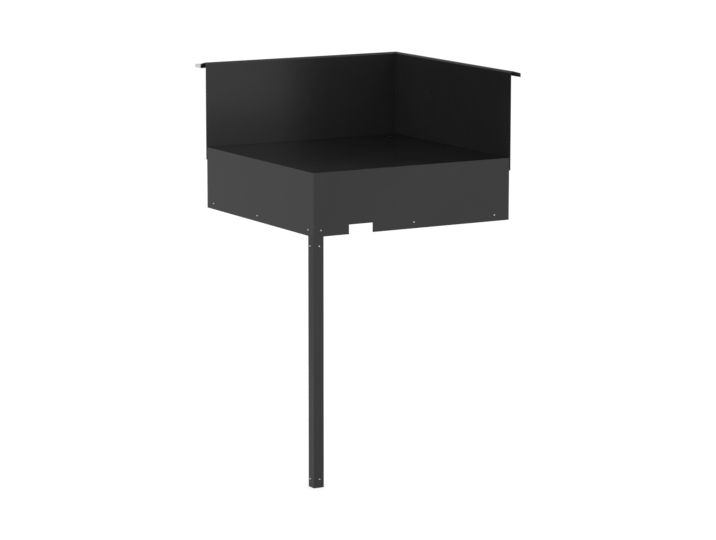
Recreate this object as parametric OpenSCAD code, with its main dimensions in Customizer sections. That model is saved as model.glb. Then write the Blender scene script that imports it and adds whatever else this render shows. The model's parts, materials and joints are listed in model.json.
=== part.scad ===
// Corner plancha grill: a square hot plate in a sheet-steel box with two rear
// wind shields, carried by its folded shield lips and by one front leg.
// Origin: centre of the foot, on the ground. +X runs along the right side,
// +Y along the left side, +Z is up.

/* [Body] */
// Length of the right side of the box, along X
side_x = 600; // [580:1:640]
// Length of the left side of the box, along Y
side_y = 597; // [580:1:640]
// Height of the skirts
skirt_h = 167.4; // [164:0.2:172]
// Height of the skirt's top edge above the ground
top_h = 834.8; // [760:0.2:900]
// Thickness of the skirt and panel sheet
sheet = 2; // [1.6:0.1:2.2]

/* [Hot plate] */
// Thickness of the hot plate
plate_t = 5; // [4:0.5:6]
// How far the plate's surface lies below the skirt's top edge
plate_drop = 1; // [0.5:0.1:1.5]
// Diameter of the grease outlet
grease_d = 25; // [20:0.5:26]

/* [Wind shields] */
// Height of the shields above the skirt's top edge
shield_up = 232.4; // [180:0.2:300]
// How far the shields reach below the skirt's top edge
shield_down = 34.2; // [28:0.1:40]
// Thickness of the shield sheet
shield_t = 2; // [2:0.1:2]
// Slope of the lip along the top of a shield, in degrees
lip_slope = 14.6; // [12:0.2:18]
// Distance from the box to the outer edge of the lip
lip_out = 34; // [32:0.5:36]

/* [Leg] */
// Outside width of the square leg tube
leg_w = 30; // [29:0.5:31]
// Wall thickness of the leg tube
leg_t = 2; // [1.8:0.1:2]
// Diameter of the levelling glide
glide_d = 22; // [18:0.5:23]

/* [Notch] */
// Distance from the front corner to the notch in the right skirt
notch_x = 105.8; // [100:0.1:110]
// Width of the notch
notch_w = 71.8; // [60:0.1:76]
// Height of the notch
notch_h = 25.4; // [18:0.1:26]

/* [Controls] */
// Diameter of the gas knob
knob_d = 42; // [36:1:44]
// Number of finger flutes round the knob
knob_flutes = 10; // [6:1:12]
// Diameter of the igniter button
button_d = 13; // [13:0.1:13]

/* [Hidden] */

e = 0.01;
plate_z = -plate_drop - plate_t;     // underside of the hot plate
ledge = 20;                          // width of the plate ledges
stud_z = -150.3;                     // panel studs, below the skirt's top
rail_h = 20;                         // height of the cross rails
rail_w = 30;
rail_y = 302.2;                      // centre of the rail along X
rail_x = 301.4;                      // centre of the rail along Y
bolt_z = -17;                        // shield bolts
foot_z = -top_h;                     // the ground
leg_top = -skirt_h;
stub_w = leg_w - 2 * leg_t;
leg_stud_top = -191.4;
leg_stud_foot = foot_z + 23.9;
studs_right = [20, rail_x, 552.2];   // on the right skirt
studs_left = [24, rail_y, 554];      // on the left skirt
shield_at = [100, 300, 500];         // shield bolts along each shield
tray_z = -88;                        // top of the burner tray
burner_z = -45;
burner_r = 15;
burner_xa = 141;
burner_xb = 460;
knob_p = [141, 60];
ign_p = [186, 60];
inlet_p = [98, 60];
bracket_z = -116;                    // top of the control bracket
spark_p = [163, 130];
grease_p = [side_x - 50, side_y - 50];
clip_left = [15, 560];               // clips along the left lip, x
clip_right = [133, 560];             // clips along the right lip, y

function arc(c, r, a0, a1, n) =
  [for (i = [0:n]) let (a = a0 + (a1 - a0) * i / n) [c[0] + r * cos(a), c[1] + r * sin(a)]];

// Everything below is drawn from the front corner at the skirt's top edge.
module place() { translate([-leg_w / 2, -leg_w / 2, top_h]) children(); }

// A flat sheet seen from above, given as a polygon, between two heights.
module slab(pts, z0, z1) { translate([0, 0, z0]) linear_extrude(z1 - z0) polygon(pts); }
module box(a, b) { translate(a) cube(b - a); }
module rod(p, r, z0, z1) { translate([p[0], p[1], z0]) cylinder(r = r, h = z1 - z0, $fn = 48); }
module hexrod(p, af, z0, z1) { translate([p[0], p[1], z0]) cylinder(r = af / 2 / cos(30), h = z1 - z0, $fn = 6); }
module rsq(w, r) {
  union() {
    translate([r, 0]) square([w - 2 * r, w]);
    translate([0, r]) square([w, w - 2 * r]);
    for (x = [r, w - r], y = [r, w - r]) translate([x, y]) circle(r = r, $fn = 32);
  }
}

// Cylinders through the sheets, one per face of the box.
module hole_right(x, z, r, l0, l1) { translate([x, l0, z]) rotate([-90, 0, 0]) cylinder(r = r, h = l1 - l0, $fn = 32); }
module hole_left(y, z, r, l0, l1) { translate([l0, y, z]) rotate([0, 90, 0]) cylinder(r = r, h = l1 - l0, $fn = 32); }

// ---- box -------------------------------------------------------------
module griddle_plate() color([0.10, 0.10, 0.105]) place()
  difference() {
    translate([sheet + 1, sheet + 1, plate_z]) linear_extrude(plate_t)
      difference() {
        square([side_x - 2 * sheet - 2, side_y - 2 * sheet - 2]);
        translate(grease_p - [sheet + 1, sheet + 1]) circle(d = grease_d, $fn = 64);
      }
  }

module grease_spout() color([0.55, 0.55, 0.56]) place()
  translate([grease_p[0], grease_p[1], -100]) difference() {
    cylinder(d = grease_d + 3, h = plate_z + 100, $fn = 64);
    translate([0, 0, -1]) cylinder(d = grease_d, h = plate_z + 102, $fn = 64);
  }

module ledge_bar(len) {
  union() {
    box([0, 0, plate_z - 2], [len, ledge, plate_z]);
    box([0, 0, plate_z - ledge], [len, 2, plate_z]);
  }
}
module plate_ledges() color([0.16, 0.16, 0.17]) place() {
  difference() {
    union() {
      translate([sheet + ledge + 0.5, sheet, 0]) ledge_bar(side_x - 2 * sheet - 2 * ledge - 1);
      translate([side_x - sheet - ledge - 0.5, side_y - sheet, 0]) rotate([0, 0, 180])
        ledge_bar(side_x - 2 * sheet - 2 * ledge - 1);
      translate([sheet, side_y - sheet, 0]) rotate([0, 0, -90]) ledge_bar(side_y - 2 * sheet);
      translate([side_x - sheet, sheet, 0]) rotate([0, 0, 90]) ledge_bar(side_y - 2 * sheet);
    }
    for (y = shield_at) hole_left(y, bolt_z, 2.6, side_x - 10, side_x + 10);
    for (x = shield_at) hole_right(x, bolt_z, 2.6, side_y - 10, side_y + 10);
  }
}

module skirt_right() color([0.16, 0.16, 0.165]) place()
  difference() {
    slab([[0, 0], [side_x, 0], [side_x - sheet, sheet], [sheet, sheet]], -skirt_h, 0);
    box([notch_x, -1, -skirt_h - 1], [notch_x + notch_w, sheet + 1, -skirt_h + notch_h]);
    for (x = studs_right) hole_right(x, stud_z, 1.1, -1, sheet + 1);
  }

module skirt_left() color([0.17, 0.17, 0.175]) place()
  difference() {
    slab([[0, 0], [sheet, sheet], [sheet, side_y - sheet], [0, side_y]], -skirt_h, 0);
    for (y = studs_left) hole_left(y, stud_z, 1.1, -1, sheet + 1);
  }

module rear_panel_right() color([0.15, 0.15, 0.155]) place()
  difference() {
    slab([[side_x, 0], [side_x, side_y], [side_x - sheet, side_y - sheet], [side_x - sheet, sheet]], -skirt_h, 0);
    for (y = [47, rail_y]) hole_left(y, stud_z, 1.1, side_x - sheet - 1, side_x + 1);
    for (y = shield_at) hole_left(y, bolt_z, 2.6, side_x - sheet - 1, side_x + 1);
  }

module rear_panel_left() color([0.15, 0.15, 0.155]) place()
  difference() {
    slab([[0, side_y], [sheet, side_y - sheet], [side_x - sheet, side_y - sheet], [side_x, side_y]], -skirt_h, 0);
    for (x = [47, rail_x]) hole_right(x, stud_z, 1.1, side_y - sheet - 1, side_y + 1);
    for (x = shield_at) hole_right(x, bolt_z, 2.6, side_y - sheet - 1, side_y + 1);
  }

module bracket_l(len) slab([[0, 0], [len, 0], [len, 2], [2, 2], [2, len], [0, len]], -165, -125);
module corner_brackets() color([0.45, 0.45, 0.46]) place() {
  difference() {
    translate([side_x - sheet, sheet, 0]) rotate([0, 0, 90]) bracket_l(60);
    hole_right(studs_right[2], stud_z, 1, sheet - 1, sheet + 3);
    hole_left(47, stud_z, 1, side_x - sheet - 3, side_x);
  }
  difference() {
    translate([sheet, side_y - sheet, 0]) rotate([0, 0, -90]) bracket_l(60);
    hole_left(studs_left[2], stud_z, 1, sheet - 1, sheet + 3);
    hole_right(47, stud_z, 1, side_y - sheet - 3, side_y);
  }
}

// A channel open at the bottom, closed at both ends, that crosses its twin
// with a half lap.
module rail(len, at, top) {
  z1 = stud_z + rail_h / 2;
  z0 = stud_z - rail_h / 2;
  difference() {
    box([0, -rail_w / 2, z0], [len, rail_w / 2, z1]);
    box([2, -rail_w / 2 + 2, z0 - 1], [len - 2, rail_w / 2 - 2, z1 - 2]);
    if (top) box([at - rail_w / 2 - 0.3, -rail_w, stud_z], [at + rail_w / 2 + 0.3, rail_w, z1 + 1]);
    else box([at - rail_w / 2 - 0.3, -rail_w, z0 - 1], [at + rail_w / 2 + 0.3, rail_w, stud_z + 0.3]);
    for (x = [at - 130, at + 130]) rod([x, 0], 2.6, z1 - 3, z1 + 1);
    translate([-1, 0, stud_z]) rotate([0, 90, 0]) cylinder(r = 1, h = 4, $fn = 32);
    translate([len - 3, 0, stud_z]) rotate([0, 90, 0]) cylinder(r = 1, h = 4, $fn = 32);
  }
}
module cross_rail_x() color([0.45, 0.45, 0.46]) place()
  translate([sheet, rail_y, 0]) rail(side_x - 2 * sheet, rail_x - sheet, true);
module cross_rail_y() color([0.45, 0.45, 0.46]) place()
  translate([rail_x, sheet, 0]) rotate([0, 0, 90]) rail(side_y - 2 * sheet, rail_y - sheet, false);

// ---- wind shields ------------------------------------------------------
so = 2;                              // gap between box and shield
ro = 6;                              // outside radius of the upper bend
ri = ro - shield_t;
eo = 2.4;                            // outside radius of the lip's outer bend
ei = eo - shield_t;
lip_a = 90 - lip_slope;
lip_c = [so + ro, shield_up - ro];
lip_do = lip_out - eo;
lip_p0 = [lip_c[0] + ro * cos(lip_a), lip_c[1] + ro * sin(lip_a)];
lip_dz = lip_p0[1] - (lip_do + eo * cos(lip_a) - lip_p0[0]) * tan(lip_slope) - eo * sin(lip_a);
lip_bz = lip_dz - 8.8;               // lower edge of the lip's outer face
rivet_z = lip_bz + 4.1;              // rivets that hold the clips
// Section of a shield: outward distance from the box, height.
shield_section = concat(
  [[so, -shield_down]],
  arc(lip_c, ro, 180, lip_a, 12),
  arc([lip_do, lip_dz], eo, lip_a, 0, 6),
  [[lip_out, lip_bz], [lip_out - shield_t, lip_bz]],
  arc([lip_do, lip_dz], ei, 0, lip_a, 4),
  arc(lip_c, ri, lip_a, 180, 12),
  [[so + shield_t, -shield_down]]);

module wind_shield_right() color([0.12, 0.12, 0.125]) place()
  difference() {
    translate([side_x, side_y + 60, 0]) rotate([90, 0, 0]) linear_extrude(side_y + 60) polygon(shield_section);
    slab([[side_x - 1, side_y - 1], [side_x + 61, side_y + 61], [side_x - 1, side_y + 61]], -100, 400);
    for (y = shield_at) hole_left(y, bolt_z, 2.6, side_x, side_x + 6);
    for (z = [0, 90, 180]) hole_left(side_y - 10, z, 1.6, side_x, side_x + 6);
    for (y = clip_right, d = [-8, 8]) hole_left(y + d, rivet_z, 1.6, side_x + lip_out - 3, side_x + lip_out + 1);
  }

module wind_shield_left() color([0.13, 0.13, 0.135]) place()
  difference() {
    translate([-0.6, side_y, 0]) rotate([90, 0, 90]) linear_extrude(side_x + 60.6) polygon(shield_section);
    slab([[side_x - 1, side_y - 1], [side_x + 61, side_y + 61], [side_x + 61, side_y - 1]], -100, 400);
    for (x = shield_at) hole_right(x, bolt_z, 2.6, side_y, side_y + 6);
    for (z = [0, 90, 180]) hole_right(side_x - 10, z, 1.6, side_y, side_y + 6);
    for (x = clip_left, d = [-8, 8]) hole_right(x + d, rivet_z, 1.6, side_y + lip_out - 3, side_y + lip_out + 1);
  }

module shield_corner_angle() color([0.12, 0.12, 0.125]) place()
  difference() {
    translate([side_x, side_y, 0]) slab([[4, -21], [6, -21], [6, 6], [-21, 6], [-21, 4], [4, 4]], -30, 205);
    for (z = [0, 90, 180]) {
      hole_left(side_y - 10, z, 1.6, side_x, side_x + 8);
      hole_right(side_x - 10, z, 1.6, side_y, side_y + 8);
    }
  }

// Blind rivet, head on +Z, shank of the given length below.
module rivet(len) rotate_extrude($fn = 32)
  polygon(concat([[0, -len], [1.6, -len], [1.6, 0]], [for (i = [0:5]) [3.2 * cos(90 * i / 5), 1.2 * sin(90 * i / 5)]]));
module corner_rivets() color([0.2, 0.2, 0.2]) place()
  for (z = [0, 90, 180]) {
    translate([side_x + 6, side_y - 10, z]) rotate([0, 90, 0]) rivet(4);
    translate([side_x - 10, side_y + 6, z]) rotate([-90, 0, 0]) rivet(4);
  }

module shield_pos() {
  for (y = shield_at) translate([side_x, y, bolt_z]) rotate([0, 90, 0]) children();
  for (x = shield_at) translate([x, side_y, bolt_z]) rotate([-90, 0, 0]) children();
}
module shield_spacers() color([0.75, 0.75, 0.76]) place() shield_pos()
  difference() {
    cylinder(r = 7, h = so, $fn = 48);
    translate([0, 0, -1]) cylinder(r = 2.6, h = so + 2, $fn = 48);
  }
module shield_bolts() color([0.75, 0.75, 0.76]) place() shield_pos()
  difference() {
    union() {
      translate([0, 0, -9.5]) cylinder(r = 2.5, h = 9.5 + so + shield_t + e, $fn = 48);
      translate([0, 0, so + shield_t]) rotate_extrude($fn = 48)
        polygon(concat([[0, 0]], [for (i = [0:6]) [4.75 * cos(90 * i / 6), 2.75 * sin(90 * i / 6)]]));
    }
    translate([0, 0, so + shield_t + 1.2]) cylinder(r = 1.5 / cos(30), h = 3, $fn = 6);
  }
module shield_nuts() color([0.75, 0.75, 0.76]) place() shield_pos()
  translate([0, 0, -sheet - 2 - 4]) difference() {
    cylinder(r = 4 / cos(30), h = 4, $fn = 6);
    translate([0, 0, -1]) cylinder(r = 2.5, h = 6, $fn = 48);
  }

// Fixing clip outside the lip: outward distance on +Y, centred on X.
clip_z = lip_bz - 1.2;               // underside of a clip
clip_h = 9.5;
module clip(h) {                     // h: height of the outer wall
  o = lip_out;
  difference() {
    union() {
      box([-15, o, clip_z], [15, o + 34, clip_z + 2]);
      box([-15, o, clip_z], [15, o + 2, clip_z + clip_h]);
      box([-15, o + 32.5, clip_z], [15, o + 34, clip_z + h]);
      for (x = [-15, 13.5]) translate([x, 0, clip_z]) rotate([90, 0, 90]) linear_extrude(1.5)
        polygon([[o, 0], [o + 34, 0], [o + 34, h], [o + 2, clip_h], [o, clip_h]]);
    }
    rod([0, o + 18], 3.3, clip_z - 1, clip_z + 3);
    for (d = [-8, 8]) hole_right(d, rivet_z, 1.6, o - 1, o + 3);
  }
}
module lip_clips() color([0.82, 0.82, 0.83]) place() {
  for (x = clip_left) translate([x, side_y, 0]) clip(clip_h);
  for (y = clip_right) translate([side_x, y, 0]) rotate([0, 0, -90]) clip(4.5);
}
module clip_rivets() color([0.75, 0.75, 0.76]) place() {
  for (x = clip_left, d = [-8, 8]) translate([x + d, side_y + lip_out + 2, rivet_z]) rotate([-90, 0, 0]) rivet(5);
  for (y = clip_right, d = [-8, 8]) translate([side_x + lip_out + 2, y + d, rivet_z]) rotate([0, 90, 0]) rivet(5);
}

// ---- leg ---------------------------------------------------------------
module leg_stub() color([0.45, 0.45, 0.46]) place()
  difference() {
    translate([leg_t, leg_t, leg_top - 70]) linear_extrude(170) difference() {
      rsq(stub_w, 1);
      translate([3, 3]) rsq(stub_w - 6, 1);
    }
    hole_right(studs_right[0], stud_z, 1, 0, 10);
    hole_left(studs_left[0], stud_z, 1, 0, 10);
    hole_right(leg_w / 2, leg_stud_top, 1, 0, 10);
    hole_left(leg_w / 2, leg_stud_top, 1, 0, 10);
  }

module leg_tube() color([0.16, 0.16, 0.165]) place()
  difference() {
    translate([0, 0, foot_z + 0.5]) linear_extrude(leg_top - foot_z - 0.5) difference() {
      rsq(leg_w, 1.2);
      translate([leg_t, leg_t]) rsq(stub_w, 0.5);
    }
    for (z = [leg_stud_top, leg_stud_foot]) {
      hole_right(leg_w / 2, z, 1.1, -1, leg_t + 1);
      hole_left(leg_w / 2, z, 1.1, -1, leg_t + 1);
    }
  }

module foot_insert() color([0.08, 0.08, 0.08]) place()
  difference() {
    translate([leg_t, leg_t, foot_z + 5]) linear_extrude(32) rsq(stub_w, 1);
    rod([leg_w / 2, leg_w / 2], 4.05, foot_z, foot_z + 60);
    hole_right(leg_w / 2, leg_stud_foot, 1, 0, 9.5);
    hole_left(leg_w / 2, leg_stud_foot, 1, 0, 9.5);
  }

module foot_stud() color([0.7, 0.7, 0.71]) place() {
  union() {
    rod([leg_w / 2, leg_w / 2], 4, foot_z + 4, foot_z + 56);
  }
}
module foot_glide() color([0.07, 0.07, 0.07]) place()
  translate([leg_w / 2, leg_w / 2, foot_z]) rotate_extrude($fn = 64)
    polygon([[0, 0], [glide_d / 2 - 1, 0], [glide_d / 2, 1], [glide_d / 2, 3], [glide_d / 2 - 1, 4], [0, 4]]);

// Threaded stud through a sheet, and the domed nut on its outer end (+Z).
module stud() { translate([0, 0, -7]) cylinder(r = 1, h = 10, $fn = 32); }
module cap_nut() difference() {
  union() {
    cylinder(r = 2 / cos(30), h = 1.8, $fn = 6);
    rotate_extrude($fn = 32)
      polygon(concat([[0, 0], [1.85, 0]], [for (i = [0:7]) [1.85 * cos(90 * i / 7), 3.35 + 1.85 * sin(90 * i / 7)]]));
  }
  translate([0, 0, -1]) cylinder(r = 1, h = 4.2, $fn = 32);
}
module panel_pos() {
  for (x = studs_right) translate([x, 0, stud_z]) rotate([90, 0, 0]) children();
  for (y = studs_left) translate([0, y, stud_z]) rotate([0, -90, 0]) children();
  for (y = [47, rail_y]) translate([side_x, y, stud_z]) rotate([0, 90, 0]) children();
  for (x = [47, rail_x]) translate([x, side_y, stud_z]) rotate([-90, 0, 0]) children();
}
module leg_pos() for (z = [leg_stud_top, leg_stud_foot]) {
  translate([leg_w / 2, 0, z]) rotate([90, 0, 0]) children();
  translate([0, leg_w / 2, z]) rotate([0, -90, 0]) children();
}
module panel_studs() color([0.7, 0.7, 0.71]) place() panel_pos() stud();
module panel_cap_nuts() color([0.8, 0.8, 0.81]) place() panel_pos() cap_nut();
module leg_studs() color([0.7, 0.7, 0.71]) place() leg_pos() stud();
module leg_cap_nuts() color([0.8, 0.8, 0.81]) place() leg_pos() cap_nut();

// ---- burner ------------------------------------------------------------
tray_a = [100, 110];
tray_b = [500, 500];
tray_bolt_at = [[rail_x - 130, rail_y], [rail_x + 130, rail_y], [rail_x, rail_y - 130], [rail_x, rail_y + 130]];
rail_top = stud_z + rail_h / 2;
module burner_tray() color([0.6, 0.6, 0.61]) place()
  difference() {
    box([tray_a[0], tray_a[1], tray_z - 2], [tray_b[0], tray_b[1], tray_z + 13]);
    box([tray_a[0] + 1.5, tray_a[1] + 1.5, tray_z], [tray_b[0] - 1.5, tray_b[1] - 1.5, tray_z + 20]);
    for (p = tray_bolt_at) rod(p, 2.6, tray_z - 3, tray_z + 1);
    rod(spark_p, 4, tray_z - 3, tray_z + 1);
  }
module tray_standoffs() color([0.6, 0.6, 0.61]) place()
  for (p = tray_bolt_at) difference() {
    rod(p, 6, rail_top, tray_z - 2);
    rod(p, 2.6, rail_top - 1, tray_z);
  }
module tray_bolts() color([0.7, 0.7, 0.71]) place()
  for (p = tray_bolt_at) union() {
    rod(p, 2.5, rail_top - 2 - e, tray_z + 6);
    hexrod(p, 8, rail_top - 5.5, rail_top - 2);
  }
module tray_nuts() color([0.7, 0.7, 0.71]) place()
  for (p = tray_bolt_at) difference() {
    hexrod(p, 8, tray_z, tray_z + 4);
    rod(p, 2.5, tray_z - 1, tray_z + 5);
  }
module burner_saddles() color([0.6, 0.6, 0.61]) place()
  for (x = [burner_xa, burner_xb], y = [165, 450]) difference() {
    union() {
      box([x - 18, y, tray_z], [x + 18, y + 2, burner_z - 2]);
      box([x - 18, y, tray_z], [x + 18, y + 16, tray_z + 2]);
    }
    translate([x, y - 1, burner_z]) rotate([-90, 0, 0]) cylinder(r = burner_r, h = 4, $fn = 64);
  }
module along_y(x, z, r, y0, y1) { translate([x, y0, z]) rotate([-90, 0, 0]) cylinder(r = r, h = y1 - y0, $fn = 64); }
module burner_tube() color([0.62, 0.6, 0.57]) place()
  difference() {
    union() {
      along_y(burner_xa, burner_z, burner_r, 88, 480);
      along_y(burner_xb, burner_z, burner_r, 130, 480);
      translate([burner_xa, 310, burner_z]) rotate([0, 90, 0]) cylinder(r = 12, h = burner_xb - burner_xa, $fn = 64);
    }
    along_y(burner_xa, burner_z, burner_r - 1.2, 87, 478.8);
    along_y(burner_xb, burner_z, burner_r - 1.2, 131.2, 478.8);
    translate([burner_xa, 310, burner_z]) rotate([0, 90, 0]) cylinder(r = 10.8, h = burner_xb - burner_xa, $fn = 64);
    for (x = [burner_xa, burner_xb], i = [0:13]) translate([x, 150 + 24 * i, burner_z])
      for (a = [-35, 35]) rotate([0, a, 0]) cylinder(r = 1.25, h = 20, $fn = 16);
  }
module air_shutter() color([0.7, 0.7, 0.71]) place()
  difference() {
    along_y(burner_xa, burner_z, burner_r + 1.2, 90, 112);
    along_y(burner_xa, burner_z, burner_r, 89, 113);
    translate([burner_xa - 20, 95, burner_z - 4]) cube([40, 12, 8]);
  }
module injector() color([0.75, 0.6, 0.3]) place()
  translate([burner_xa, knob_p[1] + 13, burner_z]) rotate([-90, 0, 0]) rotate_extrude($fn = 48)
    polygon([[0, 0], [6, 0], [6, 12], [3.5, 12], [3.5, 18], [1.5, 22], [0, 22]]);

// ---- controls ----------------------------------------------------------
module control_bracket() color([0.45, 0.45, 0.46]) place()
  difference() {
    union() {
      box([80, sheet, bracket_z - 2], [215, 92, bracket_z]);
      box([80, sheet, bracket_z - 2], [215, sheet + 2, bracket_z + 20]);
      box([80, 90, bracket_z - 2], [215, 92, bracket_z + 10]);
    }
    rod(knob_p, 6.2, bracket_z - 3, bracket_z + 1);
    rod(ign_p, 8, bracket_z - 3, bracket_z + 1);
    rod(inlet_p, 7, bracket_z - 3, bracket_z + 1);
  }
module gas_valve() color([0.72, 0.58, 0.32]) place()
  difference() {
    union() {
      box([knob_p[0] - 13, knob_p[1] - 13, bracket_z + 2], [knob_p[0] + 13, knob_p[1] + 13, burner_z + 11]);
      rod(knob_p, 10, bracket_z, bracket_z + 3);
      rod(knob_p, 6, bracket_z - 8, bracket_z + 1);
    }
    rod(knob_p, 4.05, bracket_z - 9, bracket_z + 14);
  }
module valve_nut() color([0.7, 0.7, 0.71]) place()
  difference() {
    hexrod(knob_p, 17, bracket_z - 6, bracket_z - 2);
    rod(knob_p, 6, bracket_z - 7, bracket_z);
  }
module valve_stem() color([0.7, 0.7, 0.71]) place()
  difference() {
    rod(knob_p, 4, bracket_z - 26, bracket_z + 13);
    box([knob_p[0] - 5, knob_p[1] + 2.5, bracket_z - 27], [knob_p[0] + 5, knob_p[1] + 5, bracket_z - 11]);
  }
module control_knob() color([0.07, 0.07, 0.075]) place()
  translate([knob_p[0], knob_p[1], bracket_z - 29]) difference() {
    union() {
      rotate_extrude($fn = 96)
        polygon([[0, 0], [knob_d / 2 - 4, 0], [knob_d / 2 - 2, 1], [knob_d / 2, 14], [knob_d / 2, 18], [0, 18]]);
      translate([-1.2, -knob_d / 2 + 4, -0.8]) cube([2.4, 12, 2]);
    }
    for (i = [0:knob_flutes - 1]) rotate([0, 0, 360 * i / knob_flutes + 180 / knob_flutes])
      translate([knob_d / 2 + 3.2, 0, -1]) cylinder(r = 5, h = 16, $fn = 32);
    difference() {
      translate([0, 0, 3]) cylinder(r = 4, h = 16, $fn = 48);
      translate([-5, 2.5, 2]) cube([10, 5, 16]);
    }
  }
module gas_pipe() color([0.72, 0.58, 0.32]) place()
  union() {
    translate([inlet_p[0], inlet_p[1], -70]) rotate([0, 90, 0]) cylinder(r = 6, h = knob_p[0] - 13 - inlet_p[0], $fn = 48);
    translate([inlet_p[0], inlet_p[1], -70]) sphere(r = 6, $fn = 48);
    rod(inlet_p, 6, -119, -70);
  }
module hose_connector() color([0.72, 0.58, 0.32]) place()
  difference() {
    union() {
      hexrod(inlet_p, 24, -126, -119);
      rod(inlet_p, 10.45, -140, -126 + e);
    }
    rod(inlet_p, 4, -141, -122);
  }
module igniter_body() color([0.08, 0.08, 0.08]) place()
  difference() {
    union() {
      rod(ign_p, 7.9, bracket_z - 6, -70);
      rod(ign_p, 11, bracket_z - 6, bracket_z - 2);
      rod(ign_p, 3, -71, -64);
    }
    rod(ign_p, 6.56, bracket_z - 7, -84);
  }
module igniter_nut() color([0.1, 0.1, 0.1]) place()
  difference() {
    hexrod(ign_p, 20, bracket_z, bracket_z + 4);
    rod(ign_p, 7.9, bracket_z - 1, bracket_z + 5);
  }
module igniter_button() color([0.75, 0.1, 0.08]) place()
  union() {
    rod(ign_p, button_d / 2, bracket_z - 14, bracket_z + 8);
    translate([ign_p[0], ign_p[1], bracket_z - 14]) rotate([180, 0, 0]) rotate_extrude($fn = 48)
      polygon(concat([[0, -e], [button_d / 2, -e]], [for (i = [0:4]) [button_d / 2 - 1.5 + 1.5 * cos(90 * i / 4), 1.5 * sin(90 * i / 4)]], [[0, 1.5]]));
  }

// A round tube along a list of points.
function unit(v) = v / norm(v);
function tang(p, i) = unit(p[min(i + 1, len(p) - 1)] - p[max(i - 1, 0)]);
module sweep_tube(p, r, sides, up) {
  n = len(p);
  pts = [for (i = [0:n - 1]) let (t = tang(p, i), a = unit(cross(up, t)), b = cross(t, a))
    for (k = [0:sides - 1]) p[i] + r * (a * cos(360 * k / sides) + b * sin(360 * k / sides))];
  faces = concat(
    [for (i = [0:n - 2], k = [0:sides - 1], h = [0, 1]) let (k2 = (k + 1) % sides, a = i * sides + k, b = (i + 1) * sides + k2)
      h == 0 ? [a, (i + 1) * sides + k, b] : [a, b, i * sides + k2]],
    [[for (k = [0:sides - 1]) k]],
    [[for (k = [sides - 1:-1:0]) (n - 1) * sides + k]]);
  polyhedron(pts, faces, convexity = 6);
}
spring_z0 = bracket_z + 8.2;
spring_z1 = -84.2;
module igniter_spring() color([0.8, 0.8, 0.81]) place()
  sweep_tube([for (i = [0:72]) let (a = 360 * i / 12)
    [ign_p[0] + 4.2 * cos(a), ign_p[1] + 4.2 * sin(a), spring_z0 + 0.5 + (spring_z1 - spring_z0 - 1) * i / 72]], 0.45, 6, [0, 0, 1]);

module electrode_ceramic() color([0.9, 0.89, 0.85]) place()
  translate([spark_p[0], spark_p[1], 0]) union() {
    rod([0, 0], 3.5, tray_z - 6, burner_z - 6);
    rod([0, 0], 5.5, tray_z, tray_z + 3);
  }
module electrode_wire() color([0.6, 0.6, 0.6]) place()
  union() {
    rod(spark_p, 1, burner_z - 6, burner_z + 6);
    translate([spark_p[0], spark_p[1], burner_z + 6]) sphere(r = 1, $fn = 24);
    translate([spark_p[0], spark_p[1], burner_z + 6]) rotate([0, -90, 0]) cylinder(r = 1, h = 7, $fn = 24);
  }
lead_k = [[186, 60, -64], [186, 60, -58], [186, 72, -54], [184, 88, -60], [180, 100, -76], [172, 106, -98], [166, 118, -108], [163, 128, -106], [163, 130, -100], [163, 130, -94]];
function cat(a, b, c, d, t) = 0.5 * ((2 * b) + (c - a) * t + (2 * a - 5 * b + 4 * c - d) * t * t + (3 * b - a - 3 * c + d) * t * t * t);
function smooth_path(k, m) = concat([for (i = [0:len(k) - 2], j = [0:m - 1])
  cat(k[max(i - 1, 0)], k[i], k[i + 1], k[min(i + 2, len(k) - 1)], j / m)], [k[len(k) - 1]]);
module igniter_lead() color([0.1, 0.1, 0.1]) place()
  sweep_tube(smooth_path(lead_k, 3), 1.5, 8, [1, 0.2, 0.1]);

// ---- grease cup ----------------------------------------------------------
cup_a = [side_x - 103, side_y - 100];
cup_b = [side_x - 17, side_y - 14];
module cup_hanger() color([0.45, 0.45, 0.46]) place()
  difference() {
    union() {
      box([cup_a[0] - 5, cup_a[1] - 8, -98], [side_x - sheet, cup_b[1] + 8, -96]);
      box([cup_a[0] - 5, cup_a[1] - 8, -110], [side_x - sheet, cup_a[1] - 6.5, -96]);
      box([cup_a[0] - 5, cup_b[1] + 6.5, -110], [side_x - sheet, cup_b[1] + 8, -96]);
      box([cup_a[0] - 5, cup_a[1] - 8, -110], [side_x - sheet, cup_a[1] - 2, -108.5]);
      box([cup_a[0] - 5, cup_b[1] + 2, -110], [side_x - sheet, cup_b[1] + 8, -108.5]);
      box([side_x - sheet - 2, cup_a[1] - 8, -98], [side_x - sheet, cup_b[1] + 8, -60]);
    }
    rod(grease_p, grease_d / 2 + 2.5, -99, -95);
  }
module grease_cup() color([0.7, 0.7, 0.71]) place()
  difference() {
    union() {
      box([cup_a[0], cup_a[1], -142], [cup_b[0], cup_b[1], -106.5]);
      box([cup_a[0], cup_a[1] - 5.5, -108], [cup_b[0], cup_b[1] + 5.5, -106.5]);
      box([cup_a[0] - 14, (cup_a[1] + cup_b[1]) / 2 - 15, -128], [cup_a[0] + 1, (cup_a[1] + cup_b[1]) / 2 + 15, -126.5]);
    }
    box([cup_a[0] + 1.5, cup_a[1] + 1.5, -140.5], [cup_b[0] - 1.5, cup_b[1] - 1.5, -100]);
  }

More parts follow.
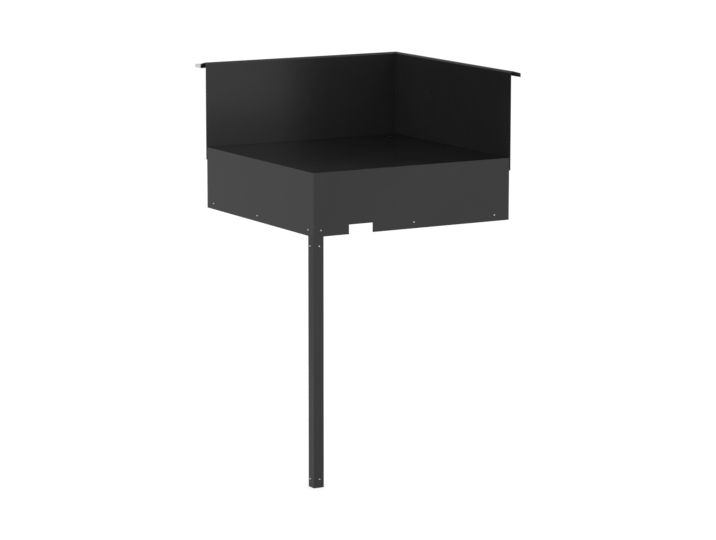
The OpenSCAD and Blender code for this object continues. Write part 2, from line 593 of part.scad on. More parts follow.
griddle_plate();
grease_spout();
plate_ledges();
skirt_right();
skirt_left();
rear_panel_right();
rear_panel_left();
corner_brackets();
cross_rail_x();
cross_rail_y();
wind_shield_right();
wind_shield_left();
shield_corner_angle();
corner_rivets();
shield_spacers();
shield_bolts();
shield_nuts();
lip_clips();
clip_rivets();
leg_stub();
leg_tube();
foot_insert();
foot_stud();
foot_glide();
panel_studs();
panel_cap_nuts();
leg_studs();
leg_cap_nuts();
burner_tray();
tray_standoffs();
tray_bolts();
tray_nuts();
burner_saddles();
burner_tube();
air_shutter();
injector();
gas_valve();
valve_nut();
valve_stem();
control_knob();
control_bracket();
gas_pipe();
hose_connector();
igniter_body();
igniter_nut();
igniter_button();
igniter_spring();
electrode_ceramic();
electrode_wire();
igniter_lead();
cup_hanger();
grease_cup();
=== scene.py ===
import json
import math
import bpy
import bmesh
from mathutils import Vector, Matrix


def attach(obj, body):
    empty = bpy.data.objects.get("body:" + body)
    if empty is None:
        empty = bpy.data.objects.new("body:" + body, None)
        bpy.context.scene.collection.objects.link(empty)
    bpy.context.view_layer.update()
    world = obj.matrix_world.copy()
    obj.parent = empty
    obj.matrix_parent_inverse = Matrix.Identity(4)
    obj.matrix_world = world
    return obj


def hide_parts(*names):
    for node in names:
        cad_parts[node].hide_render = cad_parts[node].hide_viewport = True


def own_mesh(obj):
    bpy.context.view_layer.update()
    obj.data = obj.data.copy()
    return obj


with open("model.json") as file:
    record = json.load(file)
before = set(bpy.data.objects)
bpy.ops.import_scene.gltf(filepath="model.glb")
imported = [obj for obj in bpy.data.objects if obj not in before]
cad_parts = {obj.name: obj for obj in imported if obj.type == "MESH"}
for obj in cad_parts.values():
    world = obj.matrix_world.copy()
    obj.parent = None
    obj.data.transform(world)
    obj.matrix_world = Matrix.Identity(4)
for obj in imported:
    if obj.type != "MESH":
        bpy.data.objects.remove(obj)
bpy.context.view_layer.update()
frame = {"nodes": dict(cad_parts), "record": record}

nodes = frame["nodes"]
scene = bpy.context.scene
scene.view_settings.view_transform = "Standard"
scene.view_settings.look = "None"

MM = 0.001
TOP = 0.8348                      # height of the skirts' top edge
ORG = Vector((-0.015, -0.015, TOP))


def at(x, y, z):
    """Millimetres from the front corner at the skirt's top edge, to metres."""
    return ORG + Vector((x, y, z)) * MM


# ---------------------------------------------------------------- camera
S = 0.0006                        # metres per photo unit
cam_data = bpy.data.cameras.new("camera")
cam_data.sensor_width = 36.0
cam_data.sensor_fit = "HORIZONTAL"
cam_data.lens = 154.96
cam_data.clip_end = 100
cam = bpy.data.objects.new("camera", cam_data)
scene.collection.objects.link(cam)
cam.location = ORG + Vector((-6417.2, -11444.4, 1838.4)) * S
yaw, pitch, roll = 0.52562, 0.170549, 0.0008
fwd = Vector((math.sin(yaw) * math.cos(pitch), math.cos(yaw) * math.cos(pitch), -math.sin(pitch)))
rot = fwd.to_track_quat("-Z", "Y").to_matrix() @ Matrix.Rotation(roll, 3, "Z")
cam.rotation_euler = rot.to_euler()
scene.camera = cam

# ---------------------------------------------------------------- studio
world = bpy.data.worlds.new("studio")
scene.world = world
world.use_nodes = True
wt = world.node_tree
wt.nodes.clear()
w_out = wt.nodes.new("ShaderNodeOutputWorld")
w_mix = wt.nodes.new("ShaderNodeMixShader")
w_path = wt.nodes.new("ShaderNodeLightPath")
w_cam = wt.nodes.new("ShaderNodeBackground")
w_cam.inputs["Color"].default_value = (1, 1, 1, 1)
w_cam.inputs["Strength"].default_value = 1.05
w_lit = wt.nodes.new("ShaderNodeBackground")
w_lit.inputs["Color"].default_value = (1, 1, 1, 1)
w_co = wt.nodes.new("ShaderNodeTexCoord")
w_dot = wt.nodes.new("ShaderNodeVectorMath")
w_dot.operation = "DOT_PRODUCT"
w_dot.inputs[1].default_value = (0.505, -0.863, 0.0)
w_map = wt.nodes.new("ShaderNodeMapRange")
w_map.inputs["From Min"].default_value = -1.0
w_map.inputs["From Max"].default_value = 1.0
w_map.inputs["To Min"].default_value = 0.667
w_map.inputs["To Max"].default_value = 1.153
wt.links.new(w_co.outputs["Generated"], w_dot.inputs[0])
wt.links.new(w_dot.outputs["Value"], w_map.inputs["Value"])
wt.links.new(w_map.outputs["Result"], w_lit.inputs["Strength"])
wt.links.new(w_path.outputs["Is Camera Ray"], w_mix.inputs["Fac"])
wt.links.new(w_lit.outputs["Background"], w_mix.inputs[1])
wt.links.new(w_cam.outputs["Background"], w_mix.inputs[2])
wt.links.new(w_mix.outputs["Shader"], w_out.inputs["Surface"])


def node_material(name):
    m = bpy.data.materials.new(name)
    m.use_nodes = True
    t = m.node_tree
    bsdf = next(n for n in t.nodes if n.type == "BSDF_PRINCIPLED")
    return m, t, bsdf


floor_m, ft, fb = node_material("studio_floor")
fb.inputs["Base Color"].default_value = (0.5, 0.5, 0.5, 1)
fb.inputs["Roughness"].default_value = 0.9
fb.inputs["Emission Color"].default_value = (1, 1, 1, 1)
f_path = ft.nodes.new("ShaderNodeLightPath")
f_map = ft.nodes.new("ShaderNodeMapRange")
f_map.inputs["To Min"].default_value = 0.42
f_map.inputs["To Max"].default_value = 0.66
ft.links.new(f_path.outputs["Is Camera Ray"], f_map.inputs["Value"])
ft.links.new(f_map.outputs["Result"], fb.inputs["Emission Strength"])
f_side = ft.nodes.new("ShaderNodeNewGeometry")      # the floor shows from above only
f_clear = ft.nodes.new("ShaderNodeBsdfTransparent")
f_mix = ft.nodes.new("ShaderNodeMixShader")
f_out = next(n for n in ft.nodes if n.type == "OUTPUT_MATERIAL")
ft.links.new(f_side.outputs["Backfacing"], f_mix.inputs["Fac"])
ft.links.new(fb.outputs["BSDF"], f_mix.inputs[1])
ft.links.new(f_clear.outputs["BSDF"], f_mix.inputs[2])
ft.links.new(f_mix.outputs["Shader"], f_out.inputs["Surface"])
me = bpy.data.meshes.new("floor")
bm = bmesh.new()
bmesh.ops.create_circle(bm, cap_ends=True, cap_tris=False, segments=96, radius=1.6)
bm.to_mesh(me)
bm.free()
floor = bpy.data.objects.new("floor", me)
scene.collection.objects.link(floor)
floor.location = (0, 0, -0.0006)
me.materials.append(floor_m)


# ---------------------------------------------------------------- materials
def tex_noise(t, vec, scale, detail=2.0, rough=0.5):
    n = t.nodes.new("ShaderNodeTexNoise")
    n.inputs["Scale"].default_value = scale
    n.inputs["Detail"].default_value = detail
    n.inputs["Roughness"].default_value = rough
    t.links.new(vec, n.inputs["Vector"])
    return n


def remap(t, value, a, b, lo=0.3, hi=0.7):
    n = t.nodes.new("ShaderNodeMapRange")
    n.inputs["From Min"].default_value = lo
    n.inputs["From Max"].default_value = hi
    n.inputs["To Min"].default_value = a
    n.inputs["To Max"].default_value = b
    t.links.new(value, n.inputs["Value"])
    return n.outputs["Result"]


def colour_mix(t, fac, a, b):
    n = t.nodes.new("ShaderNodeMix")
    n.data_type = "RGBA"
    n.inputs["A"].default_value = (*a, 1)
    n.inputs["B"].default_value = (*b, 1)
    t.links.new(fac, n.inputs["Factor"])
    return n.outputs["Result"]


def bump(t, bsdf, height, strength, distance):
    n = t.nodes.new("ShaderNodeBump")
    n.inputs["Strength"].default_value = strength
    n.inputs["Distance"].default_value = distance
    t.links.new(height, n.inputs["Height"])
    t.links.new(n.outputs["Normal"], bsdf.inputs["Normal"])
    return n


def object_co(t, scale=(1, 1, 1)):
    c = t.nodes.new("ShaderNodeTexCoord")
    m = t.nodes.new("ShaderNodeMapping")
    m.inputs["Scale"].default_value = scale
    t.links.new(c.outputs["Object"], m.inputs["Vector"])
    return m.outputs["Vector"]


def math_node(t, op, a, b=None):
    n = t.nodes.new("ShaderNodeMath")
    n.operation = op
    for i, v in enumerate((a, b)):
        if v is None:
            continue
        if isinstance(v, (int, float)):
            n.inputs[i].default_value = v
        else:
            t.links.new(v, n.inputs[i])
    return n.outputs["Value"]


def coordinate(t, axis):
    """One of the object's own coordinates, in metres."""
    c = t.nodes.new("ShaderNodeTexCoord")
    x = t.nodes.new("ShaderNodeSeparateXYZ")
    t.links.new(c.outputs["Object"], x.inputs["Vector"])
    return x.outputs[axis]


def coat_material(name, dark, light, r0, r1, ior_level=0.5, peel=0.25, painted_fill=None, painted_lip_light=None):
    """Satin powder coat: fine orange peel, slight cloudiness in tone and gloss.
    painted_fill = (amount at z0, amount at z1, z0, z1) mixes a lighter grey in by height: painted light that fills the
    shade low on the shield, by the plate;
    two more values are added at the front and rear ends of the side.
    painted_lip_light = (x, amount) greys the faces that look towards -X beyond x: painted light on the shaded inside of
    the lip."""
    m, t, b = node_material(name)
    co = object_co(t)
    cloud = tex_noise(t, co, 9.0, 4.0, 0.55)
    fleck = tex_noise(t, co, 1400.0, 2.0, 0.6)
    add = t.nodes.new("ShaderNodeMath")
    add.operation = "MULTIPLY_ADD"
    add.inputs[1].default_value = 0.35
    t.links.new(fleck.outputs["Fac"], add.inputs[0])
    t.links.new(cloud.outputs["Fac"], add.inputs[2])
    fac = remap(t, add.outputs["Value"], 0.0, 1.0, 0.45, 0.9)
    colour = colour_mix(t, fac, dark, light)
    # painted light: a lighter grey mixed in low on the shield, and on the right shield towards its back corner, fills
    # the shade there; a slight random wobble runs through it
    if painted_fill:
        fill_wobble = tex_noise(t, object_co(t, (1, 1, 0.35)), 26.0, 4.0, 0.6)
        amount = remap(t, coordinate(t, "Z"), painted_fill[0], painted_fill[1], painted_fill[2], painted_fill[3])
        if len(painted_fill) > 4:
            amount = math_node(t, "ADD", amount, remap(t, coordinate(t, "Y"), painted_fill[4], painted_fill[5], -0.015, 0.585))
        amount = math_node(t, "MULTIPLY", amount, remap(t, fill_wobble.outputs["Fac"], 0.92, 1.08))
        # painted light: faces looking towards -X beyond x, the shaded inside of the lip, turn grey
        if painted_lip_light:
            facing = t.nodes.new("ShaderNodeNewGeometry")
            split = t.nodes.new("ShaderNodeSeparateXYZ")
            t.links.new(facing.outputs["Normal"], split.inputs["Vector"])
            inside = math_node(t, "LESS_THAN", split.outputs["X"], -0.5)
            beyond = math_node(t, "GREATER_THAN", coordinate(t, "X"), painted_lip_light[0])
            inside = math_node(t, "MULTIPLY", math_node(t, "MULTIPLY", inside, beyond), painted_lip_light[1])
            amount = math_node(t, "ADD", amount, inside)
        mix = t.nodes.new("ShaderNodeMix")
        mix.data_type = "RGBA"
        t.links.new(colour, mix.inputs["A"])
        mix.inputs["B"].default_value = (0.10, 0.10, 0.099, 1)
        t.links.new(amount, mix.inputs["Factor"])
        colour = mix.outputs["Result"]
    t.links.new(colour, b.inputs["Base Color"])
    t.links.new(remap(t, cloud.outputs["Fac"], r0, r1), b.inputs["Roughness"])
    peel_n = tex_noise(t, co, 520.0, 2.0, 0.5)
    bump(t, b, peel_n.outputs["Fac"], peel, 0.00012)
    b.inputs["Specular IOR Level"].default_value = ior_level
    return m


COAT = ((0.0112, 0.0112, 0.0112), (0.0142, 0.0142, 0.0142), 0.23, 0.26, 0.375)
coat = coat_material("black_powder_coat", *COAT)
# the shield coats carry painted light: a lighter grey low down by the plate, and on the right shield also towards the
# back corner and on the inside of the lip
coat_left_painted_light = coat_material("black_powder_coat_left_shield_painted_light", *COAT, painted_fill=(0.065, 0.0, TOP, TOP + 0.215))
coat_right_painted_light = coat_material("black_powder_coat_right_shield_painted_light", *COAT[:4], 0.26, painted_fill=(0.125, 0.055, TOP, TOP + 0.215, -0.055, 0.03),
                           painted_lip_light=(0.6, 0.6))
# painted light: the leg's copy of the black coat has a lighter base colour and weaker gloss than the same coat
# elsewhere, standing in for light on the leg
coat_leg_painted_light = coat_material("black_powder_coat_leg_painted_light", (0.0305, 0.0305, 0.0305), (0.0350, 0.0350, 0.0350), 0.23, 0.26, 0.165)
plate_m = coat_material("seasoned_hot_plate", (0.0074, 0.0074, 0.0073), (0.0108, 0.0107, 0.0105), 0.155, 0.185, 0.36, peel=0.3)


def metal_material(name, a, b_, rough0, rough1, scale=(60, 60, 60), grain=0.15, detail=3.0):
    m, t, b = node_material(name)
    co = object_co(t, scale)
    n = tex_noise(t, co, 12.0, detail, 0.6)
    t.links.new(colour_mix(t, remap(t, n.outputs["Fac"], 0, 1), a, b_), b.inputs["Base Color"])
    t.links.new(remap(t, n.outputs["Fac"], rough0, rough1), b.inputs["Roughness"])
    b.inputs["Metallic"].default_value = 1.0
    bump(t, b, n.outputs["Fac"], grain, 0.00008)
    return m


stainless = metal_material("stainless_steel", (0.62, 0.62, 0.63), (0.74, 0.74, 0.75), 0.26, 0.36)
zinc = metal_material("zinc_plated_steel", (0.40, 0.41, 0.42), (0.52, 0.53, 0.55), 0.34, 0.5, scale=(3, 3, 3))
brass = metal_material("machined_brass", (0.62, 0.44, 0.18), (0.68, 0.50, 0.22), 0.24, 0.34, scale=(14, 14, 14), grain=0.04)
burner_m = metal_material("heat_tinted_steel", (0.30, 0.24, 0.19), (0.46, 0.43, 0.40), 0.3, 0.45, scale=(1.2, 0.5, 1.2))


def tray_material(name):
    """Zinc sheet with smoky straw and grey-blue heat marks under the two burner tubes."""
    m = zinc.copy()
    m.name = name
    t = m.node_tree
    b = next(n for n in t.nodes if n.type == "BSDF_PRINCIPLED")
    base = b.inputs["Base Color"].links[0].from_socket
    across = coordinate(t, "X")
    near = None
    for tube in (0.126, 0.445):
        d = math_node(t, "ABSOLUTE", math_node(t, "SUBTRACT", across, tube))
        near = d if near is None else math_node(t, "MINIMUM", near, d)
    wobble = tex_noise(t, object_co(t, (1, 0.4, 1)), 14.0, 3.0, 0.55)
    dist = math_node(t, "ADD", near, remap(t, wobble.outputs["Fac"], -0.022, 0.022))
    amount = remap(t, dist, 0.55, 0.0, 0.012, 0.085)
    hue = colour_mix(t, remap(t, dist, 0.0, 1.0, 0.01, 0.06), (0.20, 0.19, 0.20), (0.42, 0.33, 0.20))
    mix = t.nodes.new("ShaderNodeMix")
    mix.data_type = "RGBA"
    t.links.new(base, mix.inputs["A"])
    t.links.new(hue, mix.inputs["B"])
    t.links.new(amount, mix.inputs["Factor"])
    t.links.new(mix.outputs["Result"], b.inputs["Base Color"])
    return m


def plastic_material(name, a, b_, rough, fine=900.0, peel=0.3, level=0.5):
    m, t, b = node_material(name)
    co = object_co(t)
    n = tex_noise(t, co, fine, 2.0, 0.6)
    g = tex_noise(t, co, 40.0, 3.0, 0.6)
    t.links.new(colour_mix(t, remap(t, g.outputs["Fac"], 0, 1), a, b_), b.inputs["Base Color"])
    t.links.new(remap(t, g.outputs["Fac"], rough - 0.04, rough + 0.05), b.inputs["Roughness"])
    bump(t, b, n.outputs["Fac"], peel, 0.00006)
    b.inputs["Specular IOR Level"].default_value = level
    return m


plastic = plastic_material("black_plastic", (0.012, 0.012, 0.013), (0.020, 0.020, 0.021), 0.46)
red = plastic_material("red_plastic", (0.36, 0.012, 0.008), (0.46, 0.018, 0.012), 0.22, peel=0.1)
ceramic = plastic_material("glazed_ceramic", (0.72, 0.70, 0.64), (0.80, 0.78, 0.73), 0.18, peel=0.08)
rubber = plastic_material("silicone_lead", (0.02, 0.02, 0.021), (0.03, 0.03, 0.031), 0.5)

SLOT_LOOK = {
    "coat": coat, "hot_plate": plate_m, "zinc": zinc, "stainless": stainless,
    "burner_steel": burner_m, "brass": brass, "black_plastic": plastic,
    "red_button": red, "ceramic": ceramic, "lead": rubber,
}
cup_steel = metal_material("brushed_stainless_steel", (0.60, 0.60, 0.61), (0.73, 0.73, 0.74), 0.28, 0.40, scale=(2.5, 100, 100), grain=0.08, detail=4.0)
tube_steel = metal_material("drawn_stainless_tube", (0.56, 0.56, 0.57), (0.68, 0.68, 0.69), 0.28, 0.38, scale=(80, 80, 3), grain=0.05)
clip_steel = metal_material("satin_bright_steel", (0.83, 0.83, 0.83), (0.90, 0.90, 0.90), 0.46, 0.6, scale=(20, 20, 4), grain=0.1)
OWN_LOOK = {"wind_shield_left": coat_left_painted_light, "wind_shield_right": coat_right_painted_light, "leg_tube": coat_leg_painted_light,
            "lip_clips": clip_steel, "grease_cup": cup_steel,
            "grease_spout": tube_steel, "burner_tray": tray_material("heat_marked_zinc")}
slot_of = {s["node"]: s["material_slot"] for s in frame["record"]["subparts"]}
for name, o in nodes.items():
    mat = OWN_LOOK.get(name, SLOT_LOOK[slot_of[name]])
    o.data.materials.clear()
    o.data.materials.append(mat)


# ---------------------------------------------------------------- edges
def smooth_tree(angle):
    """Shades curved faces smooth and keeps edges above the angle sharp."""
    g = bpy.data.node_groups.new("smooth_%d" % angle, "GeometryNodeTree")
    g.interface.new_socket("Geometry", in_out="INPUT", socket_type="NodeSocketGeometry")
    g.interface.new_socket("Geometry", in_out="OUTPUT", socket_type="NodeSocketGeometry")
    gi, go = g.nodes.new("NodeGroupInput"), g.nodes.new("NodeGroupOutput")
    faces = g.nodes.new("GeometryNodeSetShadeSmooth")
    faces.domain = "FACE"
    edges = g.nodes.new("GeometryNodeSetShadeSmooth")
    edges.domain = "EDGE"
    ang = g.nodes.new("GeometryNodeInputMeshEdgeAngle")
    cmp = g.nodes.new("FunctionNodeCompare")
    cmp.data_type = "FLOAT"
    cmp.operation = "LESS_THAN"
    cmp.inputs["B"].default_value = math.radians(angle)
    g.links.new(gi.outputs[0], faces.inputs["Geometry"])
    g.links.new(faces.outputs[0], edges.inputs["Geometry"])
    g.links.new(ang.outputs["Unsigned Angle"], cmp.inputs["A"])
    g.links.new(cmp.outputs[0], edges.inputs["Shade Smooth"])
    g.links.new(edges.outputs[0], go.inputs[0])
    return g


SMOOTH = smooth_tree(32)


def soften(o, width, dissolve=True, limit=50, segments=2):
    weld = o.modifiers.new("weld", "WELD")
    weld.merge_threshold = 0.00001
    if width:
        if dissolve:
            dec = o.modifiers.new("planes", "DECIMATE")
            dec.decimate_type = "DISSOLVE"
            dec.angle_limit = math.radians(1.0)
        bev = o.modifiers.new("edge", "BEVEL")
        bev.width = width * MM
        bev.segments = segments
        bev.limit_method = "ANGLE"
        bev.angle_limit = math.radians(limit)
        bev.harden_normals = False
    sm = o.modifiers.new("smooth", "NODES")
    sm.node_group = SMOOTH
    wn = o.modifiers.new("even", "WEIGHTED_NORMAL")
    wn.mode = "FACE_AREA"
    wn.weight = 50
    wn.keep_sharp = True


BEVEL = {
    "griddle_plate": 0.8, "skirt_right": 0.35, "skirt_left": 0.35,
    "rear_panel_right": 0.35, "rear_panel_left": 0.35, "wind_shield_right": 0.3,
    "wind_shield_left": 0.3, "shield_corner_angle": 0.5, "corner_brackets": 0.4,
    "control_bracket": 0.4, "cup_hanger": 0.3, "grease_cup": 0.4, "lip_clips": 0.25,
    "burner_saddles": 0.4, "plate_ledges": 0.4, "cross_rail_x": 0.4, "cross_rail_y": 0.4,
    "burner_tray": 0.4,
}
for name, o in nodes.items():
    soften(o, BEVEL.get(name, 0.0))

# ---------------------------------------------------------------- detail pieces
TAU = 2 * math.pi


def along(x, y, z, direction=(0, 0, 1)):
    """Places local +Z along a direction, at a point given as for at()."""
    turn = Vector(direction).to_track_quat("Z", "Y").to_matrix().to_4x4()
    return Matrix.Translation(at(x, y, z)) @ turn @ Matrix.Scale(MM, 4)


def ring_solid(bm, stations, n, m, phase=0.0, hollow=False):
    """Closed solid round local +Z. stations are (z, radius) or (z, function of angle and z).
    hollow joins the last station to the first, which leaves a hole right through."""
    loops = []
    for z, r in stations:
        loop = []
        for k in range(n):
            a = TAU * k / n + phase
            rr = r(a, z) if callable(r) else r
            loop.append(bm.verts.new(m @ Vector((rr * math.cos(a), rr * math.sin(a), z))))
        loops.append(loop)
    for lo, hi in zip(loops, loops[1:] + (loops[:1] if hollow else [])):
        for k in range(n):
            bm.faces.new((lo[k], lo[(k + 1) % n], hi[(k + 1) % n], hi[k]))
    if not hollow:
        bm.faces.new(list(reversed(loops[0])))
        bm.faces.new(loops[-1])


def hexagon(af, chamfer_z=None, face_r=None, up=True, turn=0.0):
    """Radius of a hexagon across flats af, cut by the cone of its 30 degree chamfer."""
    def radius(a, z):
        w = (a + turn) % (TAU / 6) - TAU / 12
        r = af / 2 / math.cos(w)
        for cz, cut_up in chamfer_z or ():
            dist = (cz - z) if cut_up else (z - cz)
            r = min(r, face_r + max(dist, 0.0) / math.tan(math.radians(30)))
        return r
    return radius


def thread(major, depth, pitch, z0, z1, fade=1.0):
    """Radius of a right-hand thread that runs out at both ends."""
    def radius(a, z):
        f = (z / pitch - a / TAU) % 1.0
        tri = min(1.0, max(0.0, 1.25 * (1 - abs(2 * f - 1)) - 0.125))
        ends = min(1.0, max(0.0, (z - z0) / (fade * pitch)), max(0.0, (z1 - z) / (fade * pitch)))
        return major - depth * tri * ends
    return radius


def span(a, b, n):
    return [a + (b - a) * i / n for i in range(n + 1)]


def piece(name, bm, mat, body, slot, hides=(), width=0.0, **kw):
    bmesh.ops.recalc_face_normals(bm, faces=bm.faces[:])
    mesh = bpy.data.meshes.new(name)
    bm.to_mesh(mesh)
    bm.free()
    mesh.materials.append(mat)
    o = bpy.data.objects.new(name, mesh)
    scene.collection.objects.link(o)
    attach(o, body)
    if hides:
        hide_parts(*hides)
    soften(o, width, **kw)
    return o


FOOT = -TOP * 1000
BRACKET = -116.0
KNOB, INLET = (141.0, 60.0), (98.0, 60.0)

# levelling stud, M8
b = bmesh.new()
t8 = thread(4.0, 0.72, 1.25, 0.8, 51.0)
zs = span(0.8, 51.0, 200)
ring_solid(b, [(0.0, 3.95)] + [(z, t8) for z in zs] + [(52.0, 3.1)], 28, along(15, 15, FOOT + 4))
piece("foot_stud_thread", b, stainless, "foot", "stainless", ("foot_stud",))

# glide with gripping rings on its face
b = bmesh.new()
prof = [(0.5, 2.4), (0.0, 2.7), (0.0, 4.1), (0.5, 4.4), (0.5, 5.2), (0.0, 5.5), (0.0, 6.9), (0.5, 7.2),
        (0.5, 8.0), (0.0, 8.3), (0.0, 10.1), (0.25, 10.7), (1.0, 11.0), (3.1, 11.0), (3.7, 10.7), (4.0, 10.0)]
ring_solid(b, [(z, r) for z, r in prof], 64, along(15, 15, FOOT))
piece("foot_glide_ringed", b, plastic, "foot", "black_plastic", ("foot_glide",))

# hose connector: chamfered hexagon, G 1/2 thread, blind bore
b = bmesh.new()
hexa = hexagon(24.0, ((0.0, False), (7.0, True)), 11.6)
g12 = thread(10.45, 1.1, 1.814, -13.3, -0.9)
st = [(-4.0, 4.0), (-13.3, 4.0), (-14.0, 4.7), (-14.0, 8.9), (-13.3, 9.7)]
st += [(z, g12) for z in span(-13.3, -0.9, 54)]
st += [(-0.5, 9.5), (0.0, 9.5), (0.0, 11.6)] + [(z, hexa) for z in (0.0, 0.25, 0.6, 1.2, 5.8, 6.4, 6.75, 7.0)]
ring_solid(b, st, 60, along(INLET[0], INLET[1], -126), phase=TAU / 12)
piece("hose_connector_thread", b, brass, "grill", "brass", ("hose_connector",))

# hexagon bolts that carry the burner tray
b = bmesh.new()
head = hexagon(8.0, ((-3.5, False),), 3.75)
m5 = thread(2.5, 0.45, 0.8, 48.0, 57.6)
for x, y in ((171.4, 302.2), (431.4, 302.2), (301.4, 172.2), (301.4, 432.2)):
    st = [(-3.3, 2.6), (-3.5, 3.0)] + [(z, head) for z in (-3.5, -3.3, -3.0, -2.6, -0.35, -0.25)]
    st += [(-0.25, 3.7), (0.0, 3.7), (0.0, 2.5), (47.8, 2.5)] + [(z, m5) for z in span(48.0, 57.6, 60)]
    st += [(58.0, 2.0), (58.2, 1.9)]
    ring_solid(b, [(z, min(r, 3.7) if not callable(r) else r) for z, r in st], 36, along(x, y, -142.3))
piece("tray_bolts_hexagon", b, stainless, "grill", "stainless", ("tray_bolts",))


# domed cap nuts with a chamfered hexagon
def cap_nut(b, m):
    nut = hexagon(4.0, ((0.0, False), (1.8, True)), 1.93)
    st = [(3.1, 1.0), (0.0, 1.0), (0.0, 1.93)] + [(z, nut) for z in (0.0, 0.08, 0.22, 1.58, 1.72, 1.8)]
    st += [(1.8, 1.78), (1.95, 1.78), (2.1, 1.85)]
    st += [(3.35 + 1.85 * math.sin(w), 1.85 * math.cos(w)) for w in span(0.0, 1.42, 8)]
    ring_solid(b, st, 36, m, phase=TAU / 24)


Z_STUD, Z_LEG, Z_FOOT = -150.3, -191.4, FOOT + 23.9
b = bmesh.new()
for x in (20, 301.4, 552.2):
    cap_nut(b, along(x, 0, Z_STUD, (0, -1, 0)))
for y in (24, 302.2, 554):
    cap_nut(b, along(0, y, Z_STUD, (-1, 0, 0)))
for y in (47, 302.2):
    cap_nut(b, along(600, y, Z_STUD, (1, 0, 0)))
for x in (47, 301.4):
    cap_nut(b, along(x, 597, Z_STUD, (0, 1, 0)))
piece("panel_cap_nuts_domed", b, stainless, "grill", "stainless", ("panel_cap_nuts",))
b = bmesh.new()
for z in (Z_LEG, Z_FOOT):
    cap_nut(b, along(15, 0, z, (0, -1, 0)))
    cap_nut(b, along(0, 15, z, (-1, 0, 0)))
piece("leg_cap_nuts_domed", b, stainless, "grill", "stainless", ("leg_cap_nuts",))


# plain nuts, chamfered on both faces, with a small countersink
def plain_nut(b, af, hole, height, face_r, m, turn=0.0, n=48):
    shape = hexagon(af, ((0.0, False), (height, True)), face_r, turn=turn)
    rise = (af / 2 / math.cos(TAU / 12) - face_r) * math.tan(TAU / 12)
    low = [rise * f for f in (0.0, 0.15, 0.4, 0.7, 1.0)]
    st = [(0.3, hole), (0.0, hole + 0.3)] + [(z, shape) for z in low]
    st += [(height - z, shape) for z in reversed(low)] + [(height, hole + 0.3), (height - 0.3, hole)]
    ring_solid(b, st, n, m, hollow=True)


b = bmesh.new()
for c in (100, 300, 500):
    plain_nut(b, 8.0, 2.5, 4.0, 3.75, along(592, c, -17, (1, 0, 0)), turn=TAU / 12)
    plain_nut(b, 8.0, 2.5, 4.0, 3.75, along(c, 589, -17, (0, 1, 0)), turn=TAU / 12)
piece("shield_nuts_chamfered", b, stainless, "grill", "stainless", ("shield_nuts",))
b = bmesh.new()
for x, y in ((171.4, 302.2), (431.4, 302.2), (301.4, 172.2), (301.4, 432.2)):
    plain_nut(b, 8.0, 2.5, 4.0, 3.75, along(x, y, -88))
piece("tray_nuts_chamfered", b, stainless, "grill", "stainless", ("tray_nuts",))
b = bmesh.new()
plain_nut(b, 17.0, 6.0, 4.0, 8.1, along(*KNOB, BRACKET - 6), n=60)
piece("valve_nut_chamfered", b, stainless, "grill", "stainless", ("valve_nut",))
b = bmesh.new()
plain_nut(b, 20.0, 7.9, 4.0, 9.5, along(186, 60, BRACKET), n=60)
piece("igniter_nut_chamfered", b, plastic, "grill", "black_plastic", ("igniter_nut",))


# blind rivets: low domed head with the broken pin sunk in its middle
def blind_rivet(b, m, length):
    st = [(-length, 1.6), (0.0, 1.6), (0.0, 3.05), (0.1, 3.2), (0.35, 3.17), (0.72, 2.72), (1.02, 2.15),
          (1.18, 1.65), (1.2, 1.35), (1.1, 1.12), (0.7, 1.05), (0.55, 0.95), (0.62, 0.8), (0.72, 0.45)]
    ring_solid(b, st, 36, m)


b = bmesh.new()
for z in (0, 90, 180):
    blind_rivet(b, along(606, 587, z, (1, 0, 0)), 4.0)
    blind_rivet(b, along(590, 603, z, (0, 1, 0)), 4.0)
piece("corner_rivets_domed", b, coat, "grill", "coat", ("corner_rivets",))
b = bmesh.new()
for d in (-8, 8):
    for c in (15, 560):
        blind_rivet(b, along(c + d, 633, 219.27, (0, 1, 0)), 5.0)
    for c in (133, 560):
        blind_rivet(b, along(636, c + d, 219.27, (1, 0, 0)), 5.0)
piece("clip_rivets_domed", b, stainless, "grill", "stainless", ("clip_rivets",))


def plate_shape(b, outline, z0, z1):
    """Thin solid with the given outline, in part coordinates."""
    lo = [b.verts.new(at(x, y, z0)) for x, y in outline]
    hi = [b.verts.new(at(x, y, z1)) for x, y in outline]
    n = len(outline)
    for k in range(n):
        b.faces.new((lo[k], lo[(k + 1) % n], hi[(k + 1) % n], hi[k]))
    b.faces.new(list(reversed(lo)))
    b.faces.new(hi)


def bar_outline(cx, cy, ax, ay, r0, r1, half, n=6):
    """Bar with round ends from radius r0 to r1 in the direction (ax, ay)."""
    px, py = -ay, ax
    out = []
    for r, start in ((r1, -math.pi / 2), (r0, math.pi / 2)):
        for w in span(start, start + math.pi, n):
            u, v = r + half * math.cos(w), half * math.sin(w)
            out.append((cx + ax * u + px * v, cy + ay * u + py * v))
    return out


white_mark = plastic_material("white_marking", (0.62, 0.62, 0.60), (0.72, 0.72, 0.70), 0.4, peel=0.1)
black_mark = plastic_material("black_marking", (0.014, 0.014, 0.015), (0.022, 0.022, 0.023), 0.45, peel=0.1)
b = bmesh.new()
plate_shape(b, bar_outline(*KNOB, 0, -1, 5.9, 16.1, 0.55), BRACKET - 29.95, BRACKET - 29.7)
piece("knob_pointer_line", b, white_mark, "knob", "ceramic")

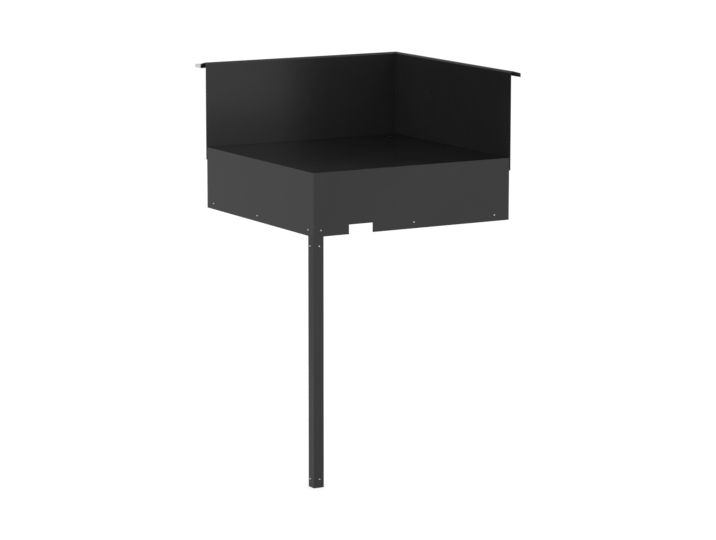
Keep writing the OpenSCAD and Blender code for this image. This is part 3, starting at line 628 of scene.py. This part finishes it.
# scale round the knob, on the underside of the bracket
b = bmesh.new()
for i in range(6):
    a = math.radians(45 * i)
    d = (-math.sin(a), -math.cos(a))
    if i == 0:
        plate_shape(b, [(KNOB[0] + 26.8 * d[0] + 1.3 * math.cos(w), KNOB[1] + 26.8 * d[1] + 1.3 * math.sin(w))
                        for w in span(0, TAU * 23 / 24, 23)], BRACKET - 2.15, BRACKET - 1.95)
    else:
        plate_shape(b, bar_outline(*KNOB, *d, 26.0, 27.9, 0.35), BRACKET - 2.15, BRACKET - 1.95)
arc_in, arc_out = [], []
for w in span(45, 225, 48):
    a = math.radians(w)
    wide = 0.3 + 1.6 * (w - 45) / 180
    arc_in.append((KNOB[0] - 22.9 * math.sin(a), KNOB[1] - 22.9 * math.cos(a)))
    arc_out.append((KNOB[0] - (22.9 + wide) * math.sin(a), KNOB[1] - (22.9 + wide) * math.cos(a)))
lo_i, lo_o = [[b.verts.new(at(x, y, BRACKET - 2.15)) for x, y in c] for c in (arc_in, arc_out)]
hi_i, hi_o = [[b.verts.new(at(x, y, BRACKET - 1.95)) for x, y in c] for c in (arc_in, arc_out)]
for k in range(48):
    for q in ((lo_i, lo_o), (lo_o, hi_o), (hi_o, hi_i), (hi_i, lo_i)):
        b.faces.new((q[0][k], q[0][k + 1], q[1][k + 1], q[1][k]))
for k in (0, 48):
    b.faces.new((lo_i[k], lo_o[k], hi_o[k], hi_i[k]))
piece("knob_scale", b, black_mark, "grill", "black_plastic")


# return spring of the igniter: closed end turns
def wire_coil(b, c, r, z0, z1, turns, wire, per_turn=28, sides=8):
    n = turns * per_turn
    loops = []
    for i in range(n + 1):
        t = i / per_turn
        ends = min(t, turns - t, 1.0)
        flat = 0.55 * (1 - ends) * (-1 if t < turns / 2 else 1)      # the end turns lie closer
        z = z0 + wire + (z1 - z0 - 2 * wire) * min(1.0, max(0.0, (t + flat * min(t, turns - t)) / turns))
        a = TAU * t
        out = Vector((math.cos(a), math.sin(a), 0))
        loops.append([b.verts.new(at(*(Vector((c[0], c[1], z)) + out * (r + wire * math.cos(w))
                                       + Vector((0, 0, 1)) * (wire * math.sin(w)))))
                      for w in span(0, TAU * (sides - 1) / sides, sides - 1)])
    for lo, hi in zip(loops, loops[1:]):
        for k in range(sides):
            b.faces.new((lo[k], lo[(k + 1) % sides], hi[(k + 1) % sides], hi[k]))
    b.faces.new(list(reversed(loops[0])))
    b.faces.new(loops[-1])


b = bmesh.new()
wire_coil(b, (186.0, 60.0), 4.2, -107.75, -84.25, 6, 0.45)
spring = piece("igniter_spring_wire", b, stainless, "grill", "stainless", ("igniter_spring",))
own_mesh(spring)


# stitch welds under the ledges that carry the plate
def weld_bead(b, p0, p1, inward, steps=26):
    """Rippled bead between two points, bulging inwards and down."""
    p0, p1, inward = Vector(p0), Vector(p1), Vector(inward)
    loops = []
    for i in range(steps + 1):
        t = i / steps
        end = min(1.0, math.sqrt(max(0.0, min(t, 1 - t) * 14)) + 0.25)
        r = (1.55 + 0.2 * abs(math.sin(math.pi * (i * 0.5)))) * min(1.0, end)
        c = p0.lerp(p1, t)
        loops.append([b.verts.new(at(*(c + inward * (r * math.cos(w)) + Vector((0, 0, 1)) * (r * 0.9 * math.sin(w)))))
                      for w in span(0, TAU * 11 / 12, 11)])
    for lo, hi in zip(loops, loops[1:]):
        for k in range(12):
            b.faces.new((lo[k], lo[(k + 1) % 12], hi[(k + 1) % 12], hi[k]))
    b.faces.new(list(reversed(loops[0])))
    b.faces.new(loops[-1])


b = bmesh.new()
for c in (70, 185, 415, 530):
    weld_bead(b, (c - 12, 2.9, -26.3), (c + 12, 2.9, -26.3), (0, 1, 0))
    weld_bead(b, (2.9, c - 12, -26.3), (2.9, c + 12, -26.3), (1, 0, 0))
for c in (60, 200, 400):
    weld_bead(b, (597.1, c - 12, -26.3), (597.1, c + 12, -26.3), (-1, 0, 0))
    weld_bead(b, (c - 12, 594.1, -26.3), (c + 12, 594.1, -26.3), (0, -1, 0))
piece("ledge_welds", b, coat, "grill", "coat")
